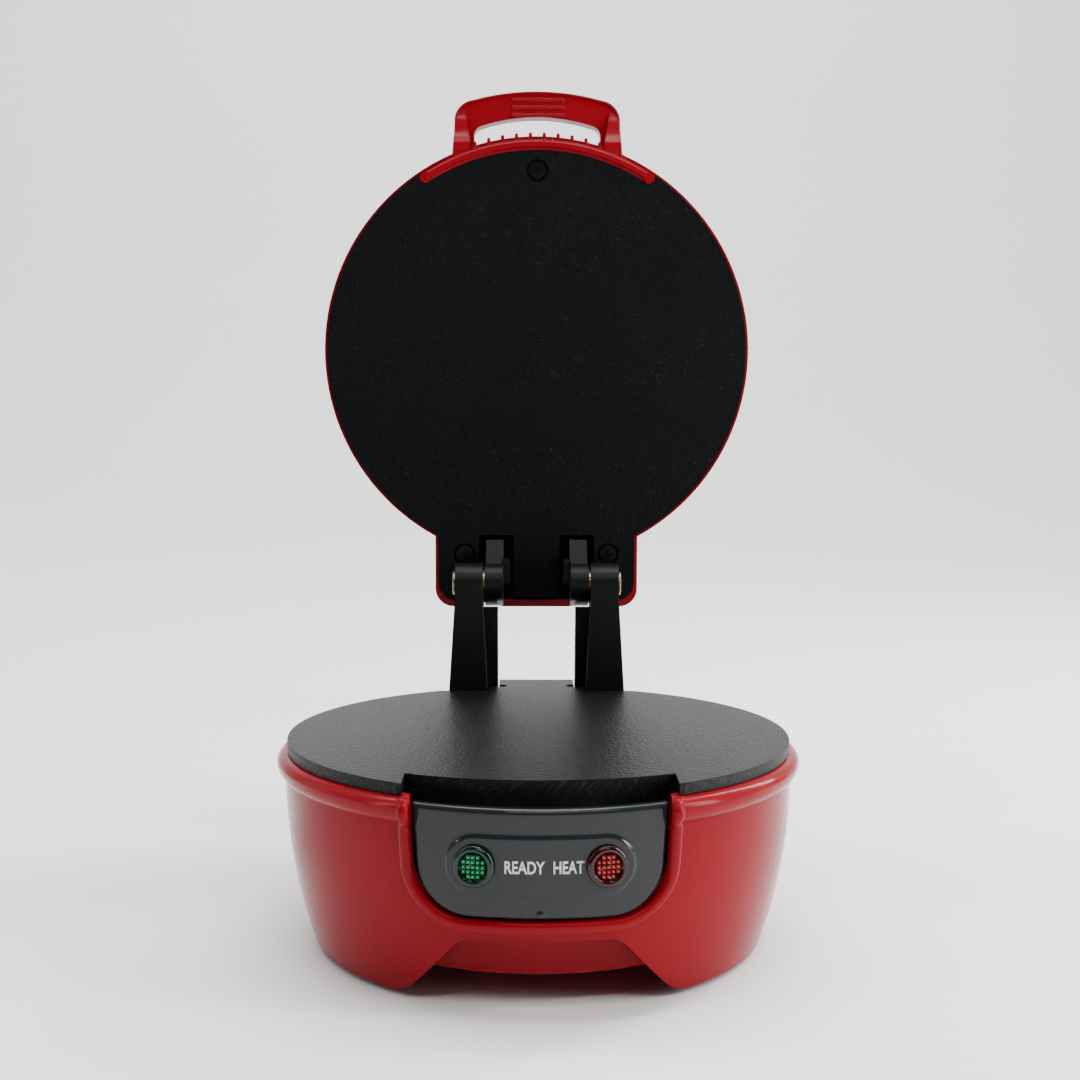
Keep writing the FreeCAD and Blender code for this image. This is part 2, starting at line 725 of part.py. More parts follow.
def screw(name, x, y, z, length, head=None, down=True):
    """A pan-head screw; its head's underside is at z and its shank runs on along Z."""
    head = head or "screw_head"
    if down:
        shank = cylinder(name + "_shank", "screw_shank-0.1", length, x, y, f"({z})-({length})")
        cap = cylinder(name + "_head", head, "1.6", x, y, z)
        slot = box(name + "_slot", (f"({x})-2", f"({x})+2"), (f"({y})-0.4", f"({y})+0.4"),
                   (f"({z})+0.7", f"({z})+2"))
    else:
        shank = cylinder(name + "_shank", "screw_shank-0.1", length, x, y, z)
        cap = cylinder(name + "_head", head, "1.6", x, y, f"({z})-1.6")
        slot = box(name + "_slot", (f"({x})-2", f"({x})+2"), (f"({y})-0.4", f"({y})+0.4"),
                   (f"({z})-2", f"({z})-0.7"))
    return cut(name, fuse(name + "_solid", shank, cap), slot)


def base_fasteners():
    group("lower_plate_screws", [screw("plate_screw", x, y, "41", "10", down=False)
                                 for x, y in on_ring(THREE_BOSSES, "plate_screw_ring")], "base")
    group("bottom_cover_screws", [screw("cover_screw", x, y, "arch_height-1.9", "4", "1.9", down=False)
                                  for x, y in on_ring(COVER_SCREWS, "cover_screw_ring")], "base")
    group("hinge_post_screws", [screw("post_screw", f"{side}*(post_in+post_out)/2", y,
                                      "rear_floor", "5.2", down=False)
                                for side in (-1, 1)
                                for y in POST_SCREWS], "base")
    feet = [cylinder("foot", "foot_radius", "3.1", x, y, "-foot_stand")
            for x, y in on_ring(FOUR_CORNERS, "foot_ring-1")]
    group("rubber_feet", [rounded("foot_round", foot, "0.6", lambda e: e.BoundBox.ZMax < 0)
                          for foot in feet], "base")


def wire(name, points, radius):
    """A round wire along straight runs, with a ball at each bend."""
    runs = []
    vectors = [FreeCAD.Vector(*(number(c) for c in point)) for point in points]
    for start, end in zip(vectors, vectors[1:]):
        run = Part.makeCylinder(radius, (end - start).Length, start, end - start)
        runs.append(run)
    runs += [Part.makeSphere(radius, bend) for bend in vectors[1:-1]]
    return runs[0].fuse(runs[1:]).removeSplitter()


def electrics():
    block = box("terminal_body", ("-14", "14"), ("38", "50"), ("10.1", "19.5"))
    ports = [box("terminal_port", (f"{x}-2.5", f"{x}+2.5"), ("36", "52"), ("14", "17.5"))
             for x in (-9, 0, 9)]
    node("terminal_block", cut("terminal", block, *ports), "base")
    gland = turned("gland_solid", [
        ("0", "rear_depth-wall-4"),
        ("cord_bore+2.3", "rear_depth-wall-4"),
        ("cord_bore+2.3", "rear_depth+0.1"),
        ("cord_bore+4", "rear_depth+0.1"),
        ("cord_bore+4", "rear_depth+1.6"),
        ("cord_bore+2.2", "rear_depth+7"),
        ("0", "rear_depth+7"),
    ], "Y", ("0", "0", "lamp_height-4"))
    bore = cylinder("gland_bore", "cord_bore", "30", "0", "rear_depth-15", "lamp_height-4", "Y")
    node("cord_gland", cut("gland", gland, bore), "base")
    leads = add("Part::Feature", "base_leads")
    runs = [
        [("-9", "51", "15.7"), ("-9", "57", "15.7"), ("-9", "66", "30"), ("-9", "66", "38"),
         ("-15", "56", "38")],
        [("9", "51", "15.7"), ("9", "57", "15.7"), ("9", "66", "30"), ("9", "66", "38"),
         ("15", "56", "38")],
        [("-9", "37", "15.7"), ("-9", "20", "15.7"), ("-20", "-20", "22"), ("-16", "-50", "38")],
        [("9", "37", "15.7"), ("9", "20", "15.7"), ("20", "-20", "22"), ("16", "-50", "38")],
    ]
    leads.Shape = Part.makeCompound([wire("lead", run, 0.9) for run in runs])
    node("base_wiring", leads, "base")


# ---------------------------------------------------------------- lid

def lid_disc(name, radius, low, high):
    """A round slab about the lid's centre, between two depths."""
    return cylinder(name, radius, f"({high})-({low})", "0", low, "lid_centre", "Y")


def lip_sector(name, low, high):
    """The wedge of the lid's front in which the shell's lip replaces the plate."""
    half = "100*tan(lip_angle*1 deg)"
    return slab(name, "XZ", low, high, [
        ("0", "lid_centre"),
        (f"{half}", "lid_centre+100"),
        (f"-{half}", "lid_centre+100"),
    ])


def lip_ends(name, grow, low, high):
    """The round ends of the lip."""
    half_width = "(lid_radius-1-lip_inner)/2"
    ring = f"(lip_inner+{half_width})"
    return [cylinder(name, f"{half_width}+{grow}", f"({high})-({low})",
                     f"{side}*{ring}*sin(lip_angle*1 deg)", low,
                     f"lid_centre+{ring}*cos(lip_angle*1 deg)", "Y") for side in (-1, 1)]


def tab(name, half, end, corner, low, high):
    """The lid's hinge tab: a slab with two rounded corners at its end."""
    sagitta = turn(corner, "90 deg")
    bottom = f"-({end})"
    return slab(name, "XZ", low, high, [
        (f"-({half})", "40"),
        (f"-({half})", f"{bottom}+({corner})"),
        (f"-({half})+({corner})", bottom, f"-{sagitta}"),
        (f"({half})-({corner})", bottom),
        (half, f"{bottom}+({corner})", f"-{sagitta}"),
        (half, "40"),
    ])


def upper_plate():
    low = "face_offset"
    high = "face_offset+plate_thick"
    disc = lid_disc("upper_disc", "plate_radius", low, high)
    plate_tab = tab("upper_tab", "upper_tab_half", "upper_tab_end", "5.5", low, high)
    flange = cut("upper_flange",
                 lid_disc("upper_flange_out", "skirt_radius", "face_offset+1", "face_offset+8"),
                 lid_disc("upper_flange_in", "skirt_radius-skirt_wall", "face_offset", "face_offset+9"))
    lip_cut = common("lip_cut", cut("lip_ring", lid_disc("lip_ring_out", "90", "10", "18.9"),
                                    lid_disc("lip_ring_in", "lip_inner-0.2", "9", "30")),
                     lip_sector("lip_cut_sector", "5", "30"))
    lip_end_cuts = lip_ends("lip_end_cut", "0.2", "10", "18.9")
    windows = []
    for side in (-1, 1):
        inner, outer = sorted((f"{side}*window_in", f"{side}*window_out"), key=number)
        windows.append(box("upper_window", (inner, outer), ("0", "40"), ("-20", "window_top")))
    seats = []
    for x, z in UPPER_SCREWS:
        seats.append(cylinder("screw_seat", "3.95", "1.6", x, "face_offset-0.2", z, "Y"))
        seats.append(cylinder("screw_hole", "screw_shank+0.1", "14", x, "face_offset", z, "Y"))
    solid = fuse("upper_solid", disc, plate_tab, flange)
    node("upper_plate", cut("upper", solid, lip_cut, *lip_end_cuts, *windows, *seats), "lid")


def dome(name, shrink):
    """The lid shell's round back as a solid of revolution about the lid's axis."""
    return turned(name, [
        ("0", "lid_rim-6"),
        (f"lid_radius-({shrink})", "lid_rim-6"),
        (f"lid_radius-({shrink})", "lid_rim+4"),
        (f"lid_radius-5-({shrink})", f"lid_back-11-({shrink})*0.6", "-0.9"),
        (f"lid_radius-20-({shrink})", f"lid_back-({shrink})", "-3.2"),
        ("20", f"lid_back+1-({shrink})", "-0.2"),
        ("0", f"lid_back+1-({shrink})"),
    ], "Y", ("0", "0", "lid_centre"))


def handle_outline(name, inset, low, high):
    """The handle's front shape: flared sides, round shoulders and an arched top."""
    corner = f"(handle_corner-({inset})*0.5)"
    side = f"handle_half-({inset})"
    arched = f"handle_top-handle_arch-({inset})"
    shoulder_bulge = f"{corner}*0.24"
    return slab(name, "XZ", low, high, [
        (f"-handle_root+({inset})", "lid_centre+60"),
        (f"handle_root-({inset})", "lid_centre+60"),
        (side, "handle_shoulder-4"),
        (side, f"{arched}-{corner}"),
        (f"{side}-{corner}", arched, f"-{shoulder_bulge}"),
        (f"-({side})+{corner}", arched, "-handle_arch"),
        (f"-({side})", f"{arched}-{corner}", f"-{shoulder_bulge}"),
        (f"-({side})", "handle_shoulder-4"),
    ])


def handle_arm(side):
    """A side arm: it comes forward to the lip at its root and runs back to the grip."""
    view = slab("arm_side_view", "YZ", "0", "40", [
        ("arm_front", "lid_centre+60"),
        ("handle_rear", "lid_centre+60"),
        ("handle_rear", "handle_shoulder+2"),
        ("handle_face", "handle_shoulder+3"),
        ("arm_front+1.2", "lid_centre+lid_radius-2", "0.8"),
    ])
    front = slab("arm_front_view", "XZ", "10", "40", [
        ("arm_inner_root", "lid_centre+60"),
        ("40", "lid_centre+60"),
        ("40", "handle_shoulder+4"),
        ("arm_inner", "handle_shoulder+4"),
        ("arm_inner_root", "lid_centre+lid_radius-4"),
    ])
    arm = common("handle_arm", view, front, handle_outline("arm_outline", "0", "10", "40"))
    return arm if side > 0 else mirrored("arm_mirror", arm)


def grip_ridges():
    """Three round-ended ridges across the middle of the grip."""
    ridges = []
    for i in range(3):
        z = f"grip_ridge_top-{i}*grip_ridge_pitch"
        ridges.append(cylinder("grip_ridge", "grip_ridge_radius", "2*grip_ridge_half", "-grip_ridge_half",
                               "handle_face+0.35", z, "X"))
        for x in ("-grip_ridge_half", "grip_ridge_half"):
            end = add("Part::Sphere", "grip_ridge_end")
            bind(end, Radius="grip_ridge_radius+0.03")
            ridges.append(at(end, x, "handle_face+0.35", z))
    return ridges


def finger_gap():
    """The opening under the grip: it follows the lid below and is arched above."""
    reach = "(finger_half-finger_foot_corner)"
    foot = f"(lid_centre+sqrt(finger_foot^2-{reach}^2))"
    foot_side = f"{foot}+finger_foot_corner"
    foot_bulge = "-" + turn("finger_foot_corner", "90 deg")
    shoulder = "finger_top-finger_arch"
    return slab("finger_gap", "XZ", "0", "60", [
        (f"-{reach}", foot, foot_bulge),
        (reach, foot, f"finger_foot-sqrt(finger_foot^2-{reach}^2)"),
        ("finger_half", foot_side, foot_bulge),
        ("finger_half", f"{shoulder}-finger_corner"),
        ("finger_half-0.76*finger_corner", shoulder, "-0.21*finger_corner"),
        ("0.76*finger_corner-finger_half", shoulder, "-finger_arch"),
        ("-finger_half", f"{shoulder}-finger_corner", "-0.21*finger_corner"),
        ("-finger_half", foot_side),
    ])


def ribs():
    """Thin upright ribs along the lip's top edge, in front of the finger gap."""
    made = []
    for i in range(int(number("rib_count"))):
        x = f"({i}-(rib_count-1)/2)*rib_pitch"
        tip = f"lid_centre+sqrt(rib_ring^2-({x})^2)"
        made.append(slab("rib", "XZ", "rib_front", "handle_rear-0.5", [
            (f"{x}-rib_half", "lid_centre+lid_radius-6"),
            (f"{x}+rib_half", "lid_centre+lid_radius-6"),
            (f"{x}+rib_tip_half", f"{tip}-rib_tip_half*0.8"),
            (f"{x}-rib_tip_half", f"{tip}-rib_tip_half*0.8", "-rib_tip_half*0.8"),
        ]))
    return made


def lip():
    """The glossy band that takes the plate's place along the lid's front edge."""
    ring = turned("lip_ring_solid", [
        ("lip_inner", "lid_rim+4"),
        ("lip_inner", "face_offset+0.6"),
        ("lip_inner+1.2", "face_offset-0.6", "0.35"),
        ("lid_radius-2.2", "face_offset-0.6"),
        ("lid_radius-1", "face_offset+0.6", "0.35"),
        ("lid_radius-1", "lid_rim+4"),
    ], "Y", ("0", "0", "lid_centre"))
    band = common("lip_band", ring, lip_sector("lip_sector_shape", "5", "40"))
    return [band] + lip_ends("lip_end", "0", "face_offset-0.3", "lid_rim+4")


def lid_bosses():
    """Screw posts inside the shell for the upper plate and the lugs."""
    posts = [cylinder("lid_boss", "2.7", "30", x, "face_offset+plate_thick+0.1", z, "Y")
             for x, z in UPPER_SCREWS]
    posts += [cylinder("lug_boss_post", "2.6", "20", f"{side}*lug_screw_x", "30.1", z, "Y")
              for side in (-1, 1) for z in LUG_SCREWS]
    core = fuse("boss_trim", dome("boss_dome", "0.6"),
                tab("boss_tab", "tab_half-0.6", "tab_end-0.6", "tab_corner-0.6", "0", "39.4"))
    return common("kept_bosses", fuse("all_bosses", *posts), core)


def lid_shell():
    tab_out = rounded("tab_out_round", tab("tab_out", "tab_half", "tab_end", "tab_corner",
                      "lid_rim-6", "40"), "5", lambda e: e.BoundBox.YMin > 39.9 and e.BoundBox.ZMax < 39)
    front_cut = box("lid_front_cut", ("-100", "100"), ("0", "lid_rim"), ("-30", "200"))
    outer = cut("lid_outer", fuse("lid_outer_solid", dome("dome_out", "0"), tab_out), front_cut)
    seat_back = "face_offset+plate_thick+0.3"
    hollow = cut("lid_hollow", outer,
                 dome("dome_in", "wall"),
                 tab("tab_in", "tab_half-wall", "tab_end-wall", "tab_corner-wall", "0", "40-wall"),
                 lid_disc("rebate_disc", "plate_radius+0.2", "0", seat_back),
                 tab("rebate_tab", "upper_tab_half+0.2", "upper_tab_end+0.2", "5.6", "0", seat_back))
    grip = fuse("handle_solid", handle_outline("handle_block", "0", "handle_face", "handle_rear"),
                cut("handle_edge", handle_outline("edge_out", "0", "handle_face-0.6", "handle_face+1"),
                    handle_outline("edge_in", "handle_rim", "10", "40")),
                handle_arm(-1), handle_arm(1), *grip_ridges())
    handle = cut("handle_open", grip, dome("handle_root_cut", "wall/2"),
                 lid_disc("handle_seat_cut", "lip_inner", "0", "40"), finger_gap())
    pilots = [cylinder("lid_pilot", "screw_shank", "10", x, "face_offset+plate_thick", z, "Y")
              for x, z in UPPER_SCREWS]
    notches = []
    for side in (-1, 1):
        pilots += [cylinder("lug_pilot", "screw_shank", "9", f"{side}*lug_screw_x", "29", z, "Y")
                   for z in LUG_SCREWS]
        inner, outer_x = sorted((f"{side}*(lug_in+0.8)", f"{side}*(lug_out+1.4)"), key=number)
        notches.append(box("shell_notch", (inner, outer_x), ("0", "30"), ("-30", "-upper_tab_end")))
    solid = fuse("shell_all", hollow, handle, lid_bosses(), *lip(), *ribs())
    node("lid_shell", cut("shell_drilled", solid, *pilots, *notches), "lid")


def lid_lug(side_name, side):
    """A lug: a boss about the pin, a web back through the plate and a screwed foot."""
    web = slab("lug_web", "YZ", "lug_in", "lug_out", [
        ("0", "-boss_radius"),
        ("5", "-boss_radius-1.9"),
        ("9", "-boss_radius-1.9"),
        ("12", "-5.5"),
        ("30", "-5.5"),
        ("30", "14.2"),
        ("16", "14.2"),
        ("9", "3"),
        ("5", "3"),
        ("0", "boss_radius", "1.2"),
    ])
    boss = cylinder("lug_boss", "boss_radius", "lug_out-lug_in", "lug_in", "0", "0", "X")
    catch = box("lug_catch", ("window_in+1.2", "lug_in+0.5"), ("3", "15"), ("-0.5", "7.5"))
    catch_slot = box("lug_catch_slot", ("window_in", "lug_in-0.4"), ("6", "10"), ("2", "5.5"))
    foot = box("lug_foot", ("window_in+0.7", "lug_screw_x+1.9"), ("27", "30"), ("-5.5", "14.2"))
    bore = cylinder("lug_bore", "pin_radius", "40", "0", "0", "0", "X")
    holes = [cylinder("lug_hole", "screw_shank+0.1", "5", "lug_screw_x", "26", z, "Y")
             for z in LUG_SCREWS]
    body = cut("lug_body", fuse("lug_solid", web, boss, catch, foot), bore, catch_slot, *holes)
    shape = body if side > 0 else mirrored("lug_mirror", body)
    node(f"lid_lug_{side_name}", shape, "lid")


def hinge_pin(side_name, side):
    stem = cylinder("pin_stem", "pin_radius", "post_out_top-lug_in-1.3", "lug_in+1.4", "0", "0", "X")
    head = rounded("pin_head_round", cylinder("pin_head", "pin_head_radius", "pin_head",
                   "post_out_top+0.1", "0", "0", "X"), "0.4", lambda e: e.BoundBox.XMin > 29)
    body = fuse("pin_body", stem, head)
    shape = body if side > 0 else mirrored("pin_mirror", body)
    node(f"hinge_pin_{side_name}", shape, "lid")


def hinge_washers():
    rings = []
    for side in (-1, 1):
        inner, outer = sorted((f"{side}*(lug_out+0.05)", f"{side}*(post_in_top-0.05)"), key=number)
        disc = cylinder("washer_disc", "pin_radius+2", f"({outer})-({inner})", inner, "0", "0", "X")
        hole = cylinder("washer_hole", "pin_radius+0.05", "4", f"{inner}-1", "0", "0", "X")
        rings.append(cut("washer", disc, hole))
    group("hinge_washers", rings, "lid")


def lid_screw(name, x, z, seat, length, head):
    """A screw driven along +Y, with a cross slot in its head."""
    shank = cylinder(name + "_shank", "screw_shank-0.05", length, x, seat, z, "Y")
    cap = cylinder(name + "_head", head, "1.1", x, f"({seat})-1.1", z, "Y")
    slots = [box(name + "_slot", (f"({x})-{a}", f"({x})+{a}"), (f"({seat})-1.6", f"({seat})-0.5"),
                 (f"({z})-{b}", f"({z})+{b}")) for a, b in ((1.8, 0.35), (0.35, 1.8))]
    return cut(name, fuse(name + "_solid", shank, cap), *slots)


def lid_fasteners():
    group("upper_plate_screws", [lid_screw("upper_screw", x, z, "face_offset+1.3", "10", "screw_head")
                                 for x, z in UPPER_SCREWS], "lid")
    group("lug_screws", [lid_screw("lug_screw", f"{side}*lug_screw_x", z, "26.9", "8.5", "screw_shank+0.05")
                         for side in (-1, 1) for z in LUG_SCREWS], "lid")


def upper_heating():
    ring = add("Part::Torus", "upper_ring")
    bind(ring, Radius1="element_ring", Radius2="element_tube")
    ring.Angle3 = 300
    ring.Placement.Rotation = FreeCAD.Rotation(FreeCAD.Vector(1, 0, 0), -90).multiply(
        FreeCAD.Rotation(FreeCAD.Vector(0, 0, 1), 120))
    at(ring, "0", "face_offset+plate_thick+element_tube+0.2", "lid_centre")
    ends = []
    for side in (-1, 1):
        ends.append(cylinder("upper_end", "element_tube", "9", f"{side}*element_ring/2",
                             "face_offset+plate_thick+element_tube+0.2",
                             "lid_centre-element_ring*sin(60 deg)", "Y"))
        bend = add("Part::Sphere", "upper_bend")
        bind(bend, Radius="element_tube+0.04")
        ends.append(at(bend, f"{side}*element_ring/2", "face_offset+plate_thick+element_tube+0.2",
                       "lid_centre-element_ring*sin(60 deg)"))
    node("upper_heating_element", fuse("upper_element", ring, *ends), "lid")
    shield = turned("upper_shield_dish", [
        ("0", "34"), ("shield_radius-4", "34"), ("shield_radius", "30"), ("shield_radius", "25"),
        ("shield_radius-sheet_thick", "25"), ("shield_radius-sheet_thick", "29.6"),
        ("shield_radius-4.3", "34-sheet_thick"), ("0", "34-sheet_thick"),
    ], "Y", ("0", "0", "lid_centre"))
    holes = [cylinder("upper_shield_hole", "element_tube+1", "12", f"{side}*element_ring/2", "30",
                      "lid_centre-element_ring*sin(60 deg)", "Y") for side in (-1, 1)]
    node("upper_heat_shield", cut("upper_shield", shield, *holes), "lid")
    can = cylinder("cutout_can", "8", "7", "0", "face_offset+plate_thick+1.2", "lid_centre", "Y")
    foot = box("cutout_foot", ("-13", "13"), ("face_offset+plate_thick+0.2", "face_offset+plate_thick+1.4"),
               ("lid_centre-4", "lid_centre+4"))
    node("upper_thermal_cutout", fuse("cutout", can, foot), "lid")
    leads = add("Part::Feature", "lid_leads")
    centre = number("lid_centre")
    runs = [
        [(f"{side}*24", "38.4", f"{centre - 41.6}"), (f"{side}*20", "38.4", "30"), (f"{side}*5", "36", "12"),
         (f"{side}*5", "36", "-4")] for side in (-1, 1)
    ]
    leads.Shape = Part.makeCompound([wire("lid_lead", run, 0.9) for run in runs])
    node("lid_wiring", leads, "lid")


# ---------------------------------------------------------------- assembly

base_housing()
bottom_cover()
control_panel()
lamps()
lower_plate()
lower_heating()
for name, sign in (("left", -1), ("right", 1)):
    hinge_post(name, sign)
    lid_lug(name, sign)
    hinge_pin(name, sign)
base_fasteners()
electrics()
upper_plate()
lid_shell()
hinge_washers()
lid_fasteners()
upper_heating()

doc.recompute()
failed = [obj.Label for obj in doc.Objects if {"Invalid", "Error"} & set(obj.State)]
if failed:
    raise RuntimeError(f"these failed to build: {failed}")
os.makedirs("parts", exist_ok=True)
for name, obj in NODES.items():
    shape = obj.Shape
    if shape.isNull() or not shape.isValid():
        raise RuntimeError(f"{name} has no valid shape")
    print(f"{name}: {len(shape.Solids)} solids, {shape.Volume / 1000:.1f} cm3")
    shape.exportStep(f"parts/{name}.step")
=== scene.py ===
import json
import math

import bmesh
import bpy
from mathutils import Matrix, Vector
from mathutils.bvhtree import BVHTree


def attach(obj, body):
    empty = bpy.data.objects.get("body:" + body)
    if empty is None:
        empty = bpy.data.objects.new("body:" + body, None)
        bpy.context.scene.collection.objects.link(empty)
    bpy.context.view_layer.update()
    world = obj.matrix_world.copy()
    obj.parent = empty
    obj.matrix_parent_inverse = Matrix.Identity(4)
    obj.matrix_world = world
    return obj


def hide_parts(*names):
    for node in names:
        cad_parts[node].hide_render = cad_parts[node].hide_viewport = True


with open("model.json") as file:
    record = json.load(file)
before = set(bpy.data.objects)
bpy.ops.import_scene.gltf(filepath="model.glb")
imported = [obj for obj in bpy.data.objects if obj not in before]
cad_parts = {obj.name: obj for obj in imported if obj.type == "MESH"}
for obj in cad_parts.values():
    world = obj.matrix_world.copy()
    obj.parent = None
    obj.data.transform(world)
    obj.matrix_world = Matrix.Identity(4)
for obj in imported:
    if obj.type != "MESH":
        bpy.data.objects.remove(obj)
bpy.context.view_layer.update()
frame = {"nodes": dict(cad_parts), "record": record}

MM = 0.001
NODES = frame["nodes"]
FOOT = 1.0                                     # mm that the feet lift the housing


# ---------------------------------------------------------------- node helpers

class Graph:
    """A material's node tree, with short calls for what the finishes share."""

    def __init__(self, name):
        self.material = bpy.data.materials.new(name)
        self.material.use_nodes = True
        self.tree = self.material.node_tree
        self.tree.nodes.clear()
        self.out = self.add("ShaderNodeOutputMaterial")
        self.shader = self.add("ShaderNodeBsdfPrincipled")
        self.link(self.shader, "BSDF", self.out, "Surface")
        self.coords = self.add("ShaderNodeTexCoord")

    def add(self, kind, **settings):
        made = self.tree.nodes.new(kind)
        for name, value in settings.items():
            setattr(made, name, value)
        return made

    def link(self, source, output, target, socket):
        """Joins an output to an input by their names."""
        self.tree.links.new(source.outputs[output], target.inputs[socket])

    def set(self, **values):
        """Sets the shader's own sockets, with underscores for the spaces in their names."""
        for name, value in values.items():
            self.shader.inputs[name.replace("_", " ")].default_value = value

    def noise(self, scale, detail=4.0, roughness=0.55, stretch=None, turn=(0, 0, 0)):
        """Noise in the object's own space, turned and then stretched where asked."""
        tex = self.add("ShaderNodeTexNoise")
        tex.inputs["Scale"].default_value = scale
        tex.inputs["Detail"].default_value = detail
        tex.inputs["Roughness"].default_value = roughness
        if stretch is None:
            self.link(self.coords, "Object", tex, "Vector")
            return tex
        mapping = self.add("ShaderNodeMapping", vector_type="TEXTURE")
        mapping.inputs["Scale"].default_value = tuple(1 / s for s in stretch)
        mapping.inputs["Rotation"].default_value = turn
        self.link(self.coords, "Object", mapping, "Vector")
        self.link(mapping, "Vector", tex, "Vector")
        return tex

    def ramp(self, source, output, low, high, low_value, high_value):
        """Maps a texture's range onto two values."""
        tex = self.add("ShaderNodeMapRange")
        tex.inputs["From Min"].default_value = low
        tex.inputs["From Max"].default_value = high
        tex.inputs["To Min"].default_value = low_value
        tex.inputs["To Max"].default_value = high_value
        self.link(source, output, tex, "Value")
        return tex

    def mix(self, factor, output, first, second):
        """A colour between two, by a factor; either may be a node that gives a colour."""
        mix = self.add("ShaderNodeMix", data_type="RGBA")
        for slot, colour in (("A", first), ("B", second)):
            if isinstance(colour, tuple):
                mix.inputs[slot].default_value = (*colour, 1)
            else:
                self.link(colour, "Result", mix, slot)
        self.link(factor, output, mix, "Factor")
        return mix

    def times(self, first, first_output, second, second_output):
        """The product of two outputs."""
        node = self.add("ShaderNodeMath", operation="MULTIPLY")
        self.tree.links.new(first.outputs[first_output], node.inputs[0])
        self.tree.links.new(second.outputs[second_output], node.inputs[1])
        return node

    def bump(self, source, output, strength, distance, under=None):
        """Relief from a texture, over another node's normal where one is given."""
        node = self.add("ShaderNodeBump")
        node.inputs["Strength"].default_value = strength
        node.inputs["Distance"].default_value = distance
        self.link(source, output, node, "Height")
        if under:
            self.link(under, "Normal", node, "Normal")
        return node

    def soft_edge(self, radius):
        """Rounds the look of every edge by a small radius."""
        node = self.add("ShaderNodeBevel", samples=4)
        node.inputs["Radius"].default_value = radius * MM
        return node


# ---------------------------------------------------------------- finishes

GLOSS_SPREAD = 0.05                            # how far a moulding's roughness drifts


def moulded(name, colour, dark, roughness, grain_scale, grain, edge=0.3, shine=0.4):
    """Moulded plastic: a slight drift in colour and gloss over a fine grain."""
    g = Graph(name)
    drift = g.noise(18, 3)
    tone = g.mix(drift, "Fac", dark, colour)
    g.link(tone, "Result", g.shader, "Base Color")
    smear = g.noise(60, 4)
    gloss = g.ramp(smear, "Fac", 0.3, 0.7, roughness - GLOSS_SPREAD, roughness + GLOSS_SPREAD)
    g.link(gloss, "Result", g.shader, "Roughness")
    fine = g.noise(grain_scale, 2)
    bump = g.bump(fine, "Fac", grain, 0.0001, g.soft_edge(edge))
    g.link(bump, "Normal", g.shader, "Normal")
    g.set(Specular_IOR_Level=shine)
    return g.material


def non_stick(name, level):
    """Cast aluminium under a black non-stick coat: sandy grain, pale specks that are painted glints off
    the grain, and smudges.
    """
    g = Graph(name)
    patches = g.noise(25, 5, 0.6)
    tone = g.mix(patches, "Fac", (0.0028, 0.0033, 0.0038), (0.0052, 0.0058, 0.0066))
    # painted highlight: pale specks in the colour stand in for glints off the coat's grain
    glint_noise = g.noise(1100, 2, 0.6)
    painted_glint = g.ramp(glint_noise, "Fac", 0.62, 0.74, 0.0, 0.8)
    glint_painted_tone = g.mix(painted_glint, "Result", tone, (0.020, 0.022, 0.024))
    smudges = g.noise(38, 6, 0.7, (1, 0.35, 1))
    smudge = g.ramp(smudges, "Fac", 0.66, 0.85, 0.0, 0.2)
    mix = g.mix(smudge, "Result", glint_painted_tone, (0.02, 0.02, 0.021))
    g.link(mix, "Result", g.shader, "Base Color")
    grain = g.noise(2400, 2, 0.6)
    gloss = g.ramp(grain, "Fac", 0.35, 0.65, 0.30, 0.46)
    g.link(gloss, "Result", g.shader, "Roughness")
    coarse = g.noise(900, 3, 0.6)
    first = g.bump(coarse, "Fac", 1.0, 0.0004, g.soft_edge(0.25))
    bump = g.bump(grain, "Fac", 0.5, 0.00010, first)
    g.link(bump, "Normal", g.shader, "Normal")
    g.set(Specular_IOR_Level=level)
    return g.material


def ground_edge(name):
    """The ground-back rim of a coated casting: slanting drag marks, with painted shade that darkens them
    towards the bottom.
    """
    g = Graph(name)
    strokes = g.noise(1, 3, 0.7, (2600, 2600, 240), (0.0, 0.75, 0.0))
    axes = g.add("ShaderNodeSeparateXYZ")
    g.link(g.coords, "Object", axes, "Vector")
    # painted shade: the marks dim downwards, standing in for the shadow below the plate's edge
    painted_shade_fade = g.ramp(axes, "Z", 0.053, 0.0605, 0.1, 1.0)
    stroke = g.ramp(strokes, "Fac", 0.52, 0.72, 0.0, 1.0)
    both = g.times(stroke, "Result", painted_shade_fade, "Result")
    mix = g.mix(both, "Value", (0.0026, 0.0030, 0.0034), (0.040, 0.042, 0.045))
    g.link(mix, "Result", g.shader, "Base Color")
    gloss = g.ramp(strokes, "Fac", 0.4, 0.7, 0.6, 0.35)
    g.link(gloss, "Result", g.shader, "Roughness")
    bump = g.bump(strokes, "Fac", 0.6, 0.0002)
    g.link(bump, "Normal", g.shader, "Normal")
    g.set(Specular_IOR_Level=0.2)
    return g.material


def metal(name, colour, roughness, brushed=(400, 400, 40)):
    """Bare metal with drawn lines."""
    g = Graph(name)
    lines = g.noise(1, 3, 0.6, brushed)
    mix = g.mix(lines, "Fac", tuple(c * 0.7 for c in colour), colour)
    g.link(mix, "Result", g.shader, "Base Color")
    gloss = g.ramp(lines, "Fac", 0.3, 0.7, roughness - 0.08, roughness + 0.08)
    g.link(gloss, "Result", g.shader, "Roughness")
    bump = g.bump(lines, "Fac", 0.15, 0.00005)
    g.link(bump, "Normal", g.shader, "Normal")
    g.set(Metallic=1.0)
    return g.material


def lens(name, colour, deep, roughness=0.1):
    """A moulded coloured lens, with a slight cloud in its colour and gloss."""
    g = Graph(name)
    cloud = g.noise(500, 2)
    mix = g.mix(cloud, "Fac", deep, colour)
    g.link(mix, "Result", g.shader, "Base Color")
    gloss = g.ramp(cloud, "Fac", 0.3, 0.7, roughness * 0.7, roughness * 1.4)
    g.link(gloss, "Result", g.shader, "Roughness")
    g.set(IOR=1.40, Specular_IOR_Level=0.4, Coat_Weight=0.15, Coat_Roughness=0.03)
    return g.material


